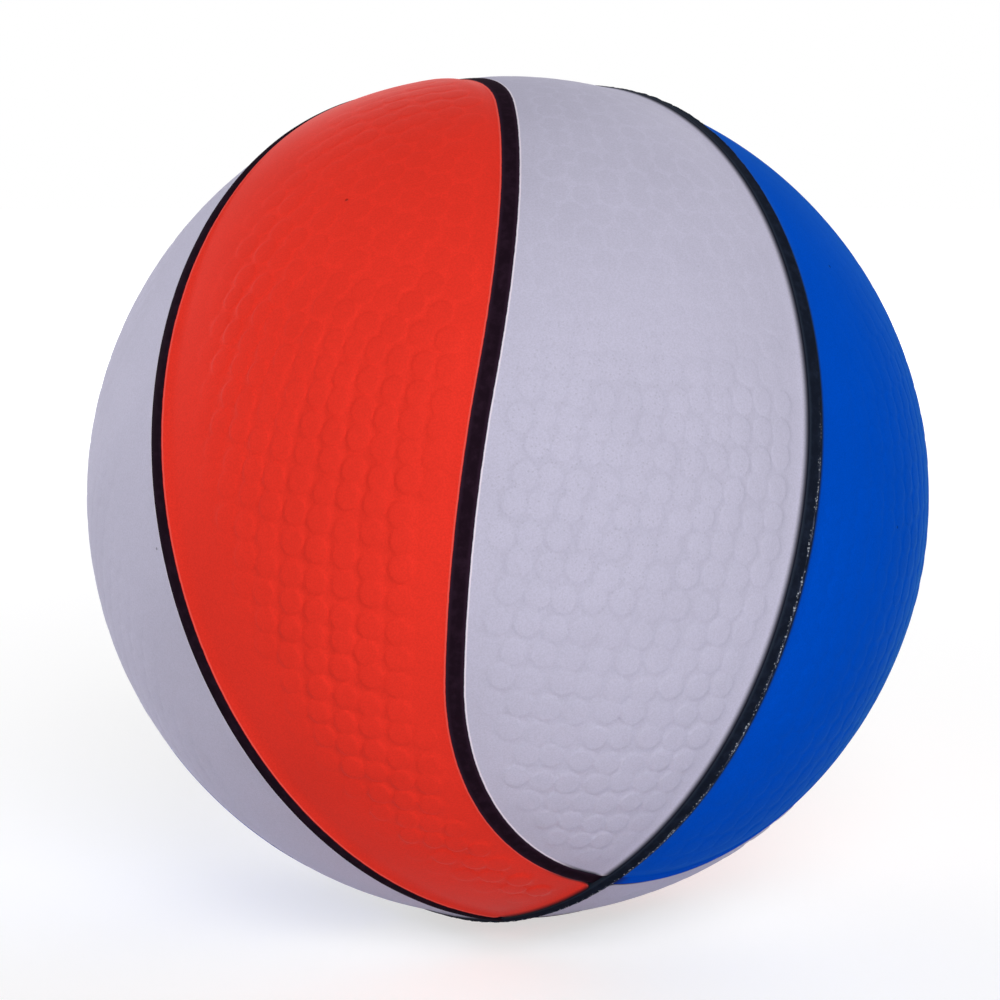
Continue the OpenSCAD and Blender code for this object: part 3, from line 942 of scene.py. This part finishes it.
def cover_finish(name, tint, rim_highlight_tint, hem, haze, haze_reach, outline_highlight, grime_and_shade, gloss, bloom=None):
    """Dull moulded rubber with mottling, fine grain and grime; pinholes painted dark as painted shade;
    creases between the pebbles near the grime painted darker as painted shade; and the rings round the
    pebbles painted paler in the upper part as a painted highlight.

    Of the colours, the first after the tint is a painted highlight along the rim, hem that of the paint that
    runs over it, and haze that of the soft dark band along the ring seam and so many millimetres from it
    along the wave, partly thin paint and partly painted shade of the rib's flank; bloom is the tint of a
    dusty sheen.
    """
    f = material(name)
    mottle = f.noise(55.0, detail=3.0, rough=0.55)
    grain = f.noise(4200.0, rough=0.6)
    cloud = f.noise(320.0)
    outline, rim, ring, wave = (f.attribute(key) for key in ("outline", "rim", "ring", "wave"))
    shown = f.mix(mottle.step(0.35, 0.7), shade(tint, 1.02), shade(tint, 0.97))
    # painted highlight: the rings round the pebbles are painted paler in the upper part, where light from
    # above catches their edges
    shown = f.mix(outline * f.height().step(0.015, 0.05) * outline_highlight, shown, shade(tint, 1.14))
    shown = f.mix(grain.step(0.3, 0.7) * 0.28, shown, shade(tint, 0.62))
    # pinholes are sunk by the bump and painted dark, a painted shade inside them
    near, chance = f.spots(170.0)
    pits = near.step(0.055, 0.03) * chance.step(0.9, 0.92)
    shown = f.mix(pits * 0.7, shown, shade(tint, 0.25))
    # grime lies in fine dark spots near one place
    speck, luck = f.spots(2000.0)
    grime_and_shade_distance = f.distance(GRIME_AND_SHADE_AT)
    grime = speck.step(0.34, 0.2) * luck.step(0.6, 0.62) * grime_and_shade_distance.step(0.030, 0.012)
    shown = f.mix(grime * grime_and_shade, shown, shade(tint, 0.4))
    # painted shade: the creases between the pebbles near the grime are painted darker
    shown = f.mix(outline * grime_and_shade_distance.step(0.045, 0.015) * grime_and_shade, shown, shade(tint, 0.7))
    # painted highlight: a thin paler line is painted along the rim; paint runs a little over it, and a soft
    # dark band lies along the ring and where the wave meets it, partly thin paint and partly painted shade
    edge = rim - f.noise(900.0, rough=0.6) * 0.12
    shown = f.mix(edge.step(0.3, 0.16) * edge.step(0.0, 0.06) * 0.7, shown, rim_highlight_tint)
    soft = ring.step(1.05, 0.1) | (wave.step(0.8, 0.05) * ring.step(haze_reach, haze_reach * 0.4))
    over = edge.step(0.03, -0.05)
    shown = f.mix(over, f.mix(soft, shown, haze), hem)
    return f.surface({
        "Base Color": shown,
        "Roughness": 0.5 + mottle * 0.08 + (over | soft) * 0.05,
        "Specular IOR Level": gloss,
        "Sheen Weight": 0.2 if bloom else 0.0,
        "Sheen Roughness": 0.3,
        "Sheen Tint": colour(bloom or tint),
        "Normal": f.bump(grain + cloud * 2.0 - pits * 4.0, 0.000014),
    })


def seam_finish(name, black, lap_paint_and_highlight=None, lap_from=0.0):
    """Black paint on the seams: dull and uneven, with a painted highlight along the edges of some strips, and
    painted glints and a painted highlight on the rough flash.

    A colour laps over it from so many millimetres before the seam's end: paint on the strips beside blue
    panels, and a painted highlight on the ring's gentle slope.
    """
    f = material(name)
    dust = f.noise(700.0, detail=3.0, rough=0.6)
    grain = f.noise(2400.0, rough=0.6)
    bead = f.attribute("bead")
    near, chance = f.spots(2900.0)
    clumps = f.noise(160.0, rough=0.6).step(0.25, 0.5) * f.height().step(0.022, 0.0)
    glints = near.step(0.5, 0.22) * chance.step(0.35, 0.45) * bead.step(0.12, 0.5) * clumps
    shown = f.mix(dust.step(0.4, 0.75), black, shade(black, 1.7))
    # painted highlight: the rounded edges of the strip are painted paler
    shown = f.mix(f.attribute("edge"), shown, shade(black, 2.3))
    if lap_paint_and_highlight is not None:
        lap = (f.attribute("lap") + (dust - 0.5) * 0.3).step(0.0, 1.0)
        shown = f.mix(lap * f.attribute("to_end").step(lap_from, lap_from + 4.0), shown, lap_paint_and_highlight)
    # painted highlight along the crest of the flash, and painted glints on it, in clumps in the lower part of
    # the ring
    shown = f.mix(bead.step(0.6, 1.0) * clumps * dust.step(0.3, 0.6), shown, FLASH_CREST_HIGHLIGHT)
    shown = f.mix(glints * 0.85, shown, FLASH_GLINT)
    return f.surface({
        "Base Color": shown,
        "Roughness": 0.5 + dust * 0.12 - glints * 0.25,
        "Specular IOR Level": 0.001,
        "Normal": f.bump(grain + dust, 0.00002, 0.7),
    })


def rubber_finish(name, tint, rough):
    """Plain dark moulded rubber with a dusty bloom."""
    f = material(name)
    bloom = f.noise(380.0, detail=4.0, rough=0.6)
    grain = f.noise(2600.0)
    return f.surface({
        "Base Color": f.mix(bloom.step(0.4, 0.75), tint, tuple(v * 1.8 + 0.004 for v in tint)),
        "Roughness": rough + bloom * 0.15,
        "Specular IOR Level": 0.35,
        "Normal": f.bump(grain, 0.00003, 0.5),
    })


def thread_finish(name, tint):
    """Thread wound over a ball in crossing turns."""
    f = material(name)
    lines = []
    for turn, scale in (((0.3, 0.9, 0.2), 420.0), ((1.2, 0.2, 0.8), 430.0), ((0.7, 1.7, 2.1), 410.0)):
        spun = f.node("Mapping", None, {"Vector": f.point(), "Rotation": turn})
        sockets = {"Vector": spun.outputs[0], "Scale": scale, "Distortion": 0.8}
        waves = f.node("TexWave", {"wave_type": "BANDS", "bands_direction": "X"}, sockets)
        lines.append(f.value(waves, "Fac"))
    height = lines[0] | lines[1] | lines[2]
    return f.surface({
        # painted shade: the grooves between the turns of thread are painted darker
        "Base Color": f.mix(height.step(0.3, 0.9), shade(tint, 0.45), tint),
        "Roughness": 0.8 - height * 0.1,
        "Specular IOR Level": 0.2,
        "Normal": f.bump(height, 0.0002, 0.7),
    })


def coat(obj, finish):
    """Gives an object its finish."""
    obj.data.materials.clear()
    obj.data.materials.append(finish)


def dress(obj, body, finish, node):
    """Gives a piece its finish and its place in the model."""
    coat(obj, finish)
    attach(obj, body)
    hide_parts(node)


class BALL_OT_cover(bpy.types.Operator):
    """Build the eight cover panels with their pebbles and rolled rims"""

    bl_idname = "ball.cover"
    bl_label = "Cover panels"

    def execute(self, context):
        scene = context.scene
        sizes, seams, tints = scene.ball_sizes, scene.ball_seams, scene.ball_colours
        finishes = {
            "cover_red": cover_finish(
                "pebbled_rubber_red", tints.red, rim_highlight_tint=tints.red_edge_highlight, hem=tints.black, haze=tints.black,
                haze_reach=11.0, outline_highlight=1.0, grime_and_shade=0.0, gloss=0.008, bloom=(0.9, 0.9, 0.9)),
            "cover_white": cover_finish(
                "pebbled_rubber_white", tints.white, rim_highlight_tint=tints.white_edge_highlight, hem=tints.black, haze=tints.haze,
                haze_reach=11.0, outline_highlight=1.0, grime_and_shade=0.2, gloss=0.006),
            "cover_blue": cover_finish(
                "pebbled_rubber_blue", tints.blue, rim_highlight_tint=tints.blue, hem=shade(tints.blue, 0.7),
                haze=tints.haze, haze_reach=2.0, outline_highlight=0.2, grime_and_shade=0.0, gloss=0.0, bloom=(0.16, 0.5, 0.5)),
        }
        # direction of the valve in the frame of the seams, and the angular radius of its hole
        hole = (ball_frame(seams).T @ np.array([0.0, 1.0, 0.0]), (STEM_R + STEM_GAP) / BALL_R)
        for node, (kind, flips, slot) in PANELS.items():
            lean, depth = PEBBLES[slot]
            pebbles = Pebbles(sizes, seams, hole, lean)
            obj = panel_mesh(node, kind, flips, sizes, seams, pebbles, depth, hole)
            dress(obj, "ball", finishes[slot], node)
        return {"FINISHED"}


class BALL_OT_seams(bpy.types.Operator):
    """Build the black seams: the wave's flush strips, the half seams' ribs and the ring with its flash"""

    bl_idname = "ball.seams"
    bl_label = "Seams"

    # points across a strip, and across the ring with more on its crest, as shares of half the width
    ACROSS = np.array([-1, -0.92, -0.78, -0.55, -0.28, 0, 0.28, 0.55, 0.78, 0.92, 1])
    ROUND = np.array([-1, -0.92, -0.78, -0.55, -0.3, -0.05, 0.15, 0.3,
                      0.42, 0.52, 0.6, 0.68, 0.76, 0.84, 0.92, 1])
    # a strip's sides lie this far inside its channel, and its ends reach this far under what it meets
    SIDE_GAP = 0.005 * MM
    REACH_UNDER = 0.6 * MM
    # spacing of points along a strip and along the ring
    STEP = 0.4 * MM
    RING_STEP = 0.25 * MM
    # where across the ring its crest of flash lies, and how wide
    CREST = (0.62, 0.22)
    # share of a rib's flank that its shoulder reaches, and share of the bulge that the front half rib takes
    SHOULDER = 0.97
    BULGE_SHARE = 0.3
    # heights of the wave's shoulders and crown as shares of its rise, and how flat a strip's crown is
    WAVE_HEIGHTS = (0.9, 1.5)
    CROWN_FLATNESS = 2.4

    def execute(self, context):
        scene = context.scene
        self.sizes, self.seams = scene.ball_sizes, scene.ball_seams
        self.half = self.sizes.seam_width / 2 - self.SIDE_GAP
        self.inset = (self.half - self.REACH_UNDER) / BALL_R
        self.step = self.STEP / BALL_R
        tints = scene.ball_colours
        finish = seam_finish("seam_black_paint", tints.black)
        self.wave_seams(finish, seam_finish("seam_black_under_blue", tints.black, tints.blue, 0.5))
        self.half_seams(finish)
        # the ring's paint, with a painted highlight laid over its gentle slope
        self.ring_seam(seam_finish("ring_black_paint", shade(tints.haze, 0.75), tints.ring_slope_highlight, -10.0))
        return {"FINISHED"}

    def section(self, across, tops):
        """Outline of a strip from its top's heights over the cover's ground, with its foot."""
        foot = BALL_R - self.sizes.cover
        side = self.half if across[-1] > 0 else -self.half
        points = [(a * self.half, top) for a, top in zip(across, ground(self.sizes) + tops)]
        return points + [(side, foot), (-side, foot)]

    def crowned(self, shoulder, crown):
        """Outline of a strip that is higher in its middle."""
        shape = 1 - np.abs(self.ACROSS) ** self.CROWN_FLATNESS
        return self.section(self.ACROSS, shoulder + (crown - shoulder) * shape)

    def uneven(self, seed, share):
        """Slow waves along a strip, and its share of the ball's bulge."""

        def crown(rows):
            n = len(rows[0])
            wave = UNEVEN * rough_line(n, 9, seed)
            lifts = [wave + share * bulge(row, self.sizes, self.seams) for row in rows[:-2]]
            return np.stack(lifts + [np.zeros(n)] * 2)

        return crown

    def wave_seams(self, finish, blue_finish):
        """The four lengths of the wave; those beside a blue panel are painted over in its blue."""
        plain = np.zeros(len(self.ACROSS))
        # strips not beside blue get a painted highlight along their rounded edges
        edge_highlit = {"bead": plain, "edge": smooth(np.abs(self.ACROSS), 0.6, 0.95)}
        lapped = {"bead": plain, "edge": plain, "lap": smooth(self.ACROSS, 1.6, 0.5)}
        profile = self.crowned(*(self.sizes.wave_rise * share for share in self.WAVE_HEIGHTS))
        for seed, (node, flips) in enumerate(WAVE_STRIPS.items()):
            by_blue = flips[0] != flips[1]
            quarter = quarters(self.seams, self.sizes, flips)["low"]
            ring_stop, half_stop = (
                (axis, radius - self.inset, 1) for axis, radius, _ in (quarter.ring, quarter.half))
            foot = meet(quarter.waist_low, ring_stop, 0, quarter.low.end)
            top = meet(quarter.waist_up, half_stop, 0, quarter.end_up)
            bends = quarter.wave(top, foot, self.step)
            obj = strip_mesh(node, bends, np.diag(flips).astype(float), self.seams, profile,
                             self.uneven(seed, 0.0), lapped if by_blue else edge_highlit)
            dress(obj, "ball", blue_finish if by_blue else finish, node)

    def half_seams(self, finish):
        """The two half ribs, of which the rear one is lower."""
        plain = np.zeros(len(self.ACROSS))
        for seed, (node, flips) in enumerate(HALF_STRIPS.items()):
            quarter = quarters(self.seams, self.sizes, flips)["low"]
            ring_stop = (quarter.ring[0], quarter.ring[1] - self.inset, 1)
            low, high = (meet(quarter.half, ring_stop, 0, np.array([0.0, 0.0, end])) for end in (-1.0, 1.0))
            front = flips[1] > 0
            share = 1.0 if front else self.sizes.rear_rib
            profile = self.crowned(self.sizes.flank_rise * self.SHOULDER * share, self.sizes.rib_rise * share)
            obj = strip_mesh(node, [Bend(*quarter.half, low, high, self.step)], np.diag(flips).astype(float),
                             self.seams, profile, self.uneven(10 + seed, self.BULGE_SHARE if front else 0.0),
                             {"bead": plain, "edge": plain})
            dress(obj, "ball", finish, node)

    def ring_seam(self, finish):
        """The ring in the mould's parting plane, which climbs from one side to a crest of rough flash."""
        across = self.ROUND
        shape = np.interp(across, [-1, -0.5, 0, 0.35, 0.62, 0.8, 0.92, 1],
                          [0, 0.35, 0.68, 0.9, 1, 0.9, 0.55, 0])
        tops = self.sizes.flank_rise * self.SHOULDER + (self.sizes.rib_rise - self.sizes.flank_rise) * shape
        crest, width = self.CREST
        ridge = np.exp(-((across - crest) / width) ** 2)

        def flash(rows):
            # short and long bumps along the crest, and fine grain over them
            n, m = len(rows[0]), len(across)
            tall = 0.3 + 0.35 * rough_line(n, 2.5, 31) + 0.35 * rough_line(n, 14, 32)
            fine = np.stack([rough_line(n, 1.5, 40 + i) for i in range(m)])
            lifts = ridge[:, None] * self.sizes.bead_height * (np.clip(tall, 0.0, 1)[None] + 0.3 * fine)
            return np.concatenate([lifts, np.zeros((2, n))])

        ring = quarters(self.seams, self.sizes, (1, 1))["low"].ring
        bend = Bend(*ring, np.array([1.0, 0.0, 0.0]), np.array([-1.0, 0.0, 1e-9]), self.step)
        bend.turns = np.linspace(0, FULL_TURN, int(FULL_TURN / (self.RING_STEP / BALL_R)), endpoint=False)
        # the lap marks the ring's gentle side, which gets a painted highlight
        marks = {"bead": ridge, "edge": np.zeros(len(across)), "lap": smooth(across, -0.5, -1.0)}
        profile = self.section(-across, tops)
        obj = strip_mesh("seam_ring", [bend], np.eye(3), self.seams, profile, flash, marks, ends=False)
        dress(obj, "ball", finish, "seam_ring")


class BALL_OT_valve(bpy.types.Operator):
    """Build the valve body and the plug with its needle hole"""

    bl_idname = "ball.valve"
    bl_label = "Valve"

    # outlines in millimetres from the valve's line and from the ball's middle: body below its face, and plug
    BODY = [(4.0, 62.8), (3.05, 62.8), (3.05, 53.3), (5.0, 53.3), (5.0, 56.9), (9.0, 56.58), (9.0, 57.98),
            (5.0, 58.44)]
    PLUG = [(3.7, 64.6), (1.75, 64.69), (1.25, 64.2), (1.1, 63.7), (1.1, 56.7), (0.0, 56.4), (0.0, 54.3),
            (2.5, 54.3), (3.0, 54.8), (3.0, 63.1), (3.7, 63.1)]

    def execute(self, context):
        tints = context.scene.ball_colours
        ball = BALL_R / MM
        face = [(radius, math.sqrt(ball**2 - radius**2)) for radius in (STEM_R / MM, self.BODY[0][0])]
        body = turned_mesh("valve_stem", rounded(face + self.BODY, 0.3))
        finish = rubber_finish("valve_black_rubber", tints.valve, 0.5)
        dress(body, "ball", finish, "valve_body")
        plug = turned_mesh("valve_plug_head", rounded(self.PLUG, 0.25))
        finish = rubber_finish("plug_grey_rubber", tints.plug, 0.45)
        dress(plug, "valve_plug", finish, "valve_core")
        return {"FINISHED"}


class BALL_OT_layers(bpy.types.Operator):
    """Give the layers inside the ball their finishes"""

    bl_idname = "ball.layers"
    bl_label = "Inner layers"

    def execute(self, context):
        tints = context.scene.ball_colours
        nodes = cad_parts
        coat(nodes["bladder"], rubber_finish("bladder_butyl", tints.bladder, 0.55))
        coat(nodes["valve_pad"], rubber_finish("pad_butyl", tints.bladder, 0.6))
        coat(nodes["carcass"], rubber_finish("carcass_rubber", tints.carcass, 0.6))
        coat(nodes["winding"], thread_finish("winding_thread", tints.thread))
        return {"FINISHED"}


class BALL_OT_stage(bpy.types.Operator):
    """Build the floor, the light and the camera"""

    bl_idname = "ball.stage"
    bl_label = "Stage"

    # shares of white that the camera sees on the floor near the ball and far from it, and those distances
    NEAR_WHITE, FAR_WHITE = 0.62, 1.0
    NEAR, FAR = 0.15, 1.2
    # share of the floor's colour that shows the ball's shadow to the camera
    SHADOWED = 0.48

    def execute(self, context):
        stage, scene = context.scene.ball_stage, context.scene
        scene.view_settings.view_transform = "Standard"
        self.floor(stage)

        scene.world = bpy.data.worlds.new("studio_air")
        f = Finish(scene.world)
        air = f.mix(f.seen(), (stage.ambient,) * 3, (1, 1, 1))
        shader = f.node("Background", None, {"Color": air, "Strength": 1.0})
        f.node("OutputWorld", None, {"Surface": shader.outputs[0]})

        for name, (setting, width, round_from, up) in SOFTBOXES.items():
            lamp = bpy.data.lights.new(name, "AREA")
            lamp.energy = getattr(stage, setting)
            lamp.size = width
            lamp.shape = "SQUARE"
            self.aimed(name, lamp, stage.azimuth + math.radians(round_from), math.radians(up), LAMP_DISTANCE)

        camera = self.aimed("photo_camera", bpy.data.cameras.new("photo_camera"),
                            stage.azimuth, stage.elevation, stage.distance)
        camera.data.sensor_width = 36
        camera.data.lens = stage.lens
        camera.data.shift_x = stage.shift_x
        camera.data.shift_y = stage.shift_y
        camera.data.clip_start = 0.01
        scene.camera = camera
        return {"FINISHED"}

    def floor(self, stage):
        """A round floor, white to the camera but for the ball's shadow."""
        j = np.arange(FLOOR_SIDES)
        turns = FULL_TURN * j / FLOOR_SIDES
        level = np.full(FLOOR_SIDES, FLOOR_Z)
        rim = np.column_stack([FLOOR_R * np.cos(turns), FLOOR_R * np.sin(turns), level])
        faces = np.column_stack([j, (j + 1) % FLOOR_SIDES, np.full(FLOOR_SIDES, FLOOR_SIDES)])
        floor = mesh_object("studio_floor", np.vstack([rim, [[0, 0, FLOOR_Z]]]), [faces], {})
        f = material("studio_white")
        far = f.distance().step(self.NEAR, self.FAR)
        seen = f.seen()
        white = self.NEAR_WHITE + far * (self.FAR_WHITE - self.NEAR_WHITE)
        coat(floor, f.surface({
            "Base Color": f.mix(seen, stage.floor, shade(stage.floor, self.SHADOWED)),
            "Roughness": 0.9,
            "Specular IOR Level": 0.0,
            "Emission Color": f.mix(seen * white, (0, 0, 0), (1, 1, 1)),
            "Emission Strength": 1.0,
        }))
        return floor

    @staticmethod
    def aimed(name, data, azimuth, elevation, distance):
        """A lamp or camera that looks at the ball's middle from a direction and distance."""
        obj = bpy.data.objects.new(name, data)
        bpy.context.scene.collection.objects.link(obj)
        level = math.cos(elevation) * distance
        height = math.sin(elevation) * distance
        obj.location = (math.sin(azimuth) * level, -math.cos(azimuth) * level, height)
        obj.rotation_euler = (-obj.location).to_track_quat("-Z", "Y").to_euler()
        return obj


class BALL_PT_panel(bpy.types.Panel):
    """Sizes, colours and pieces of the ball"""

    bl_label = "Rubber Basketball"
    bl_idname = "BALL_PT_panel"
    bl_space_type = "VIEW_3D"
    bl_region_type = "UI"
    bl_category = "Ball"

    def draw(self, context):
        for key, group in GROUPS.items():
            box = self.layout.box()
            box.label(text=group.__doc__)
            for setting in group.__annotations__:
                box.prop(getattr(context.scene, key), setting)
        for operator in OPERATORS:
            self.layout.operator(operator.bl_idname)


GROUPS = {
    "ball_sizes": BallSizes,
    "ball_seams": BallSeams,
    "ball_colours": BallColours,
    "ball_stage": BallStage,
}
OPERATORS = (BALL_OT_cover, BALL_OT_seams, BALL_OT_valve, BALL_OT_layers, BALL_OT_stage)
CLASSES = (*GROUPS.values(), *OPERATORS, BALL_PT_panel)


def register():
    for cls in CLASSES:
        bpy.utils.register_class(cls)
    for key, group in GROUPS.items():
        setattr(bpy.types.Scene, key, PointerProperty(type=group))


def unregister():
    for key in GROUPS:
        delattr(bpy.types.Scene, key)
    for cls in reversed(CLASSES):
        bpy.utils.unregister_class(cls)


def main():
    register()
    bpy.ops.ball.cover()
    bpy.ops.ball.seams()
    bpy.ops.ball.valve()
    bpy.ops.ball.layers()
    bpy.ops.ball.stage()


if __name__ == "__main__":
    main()
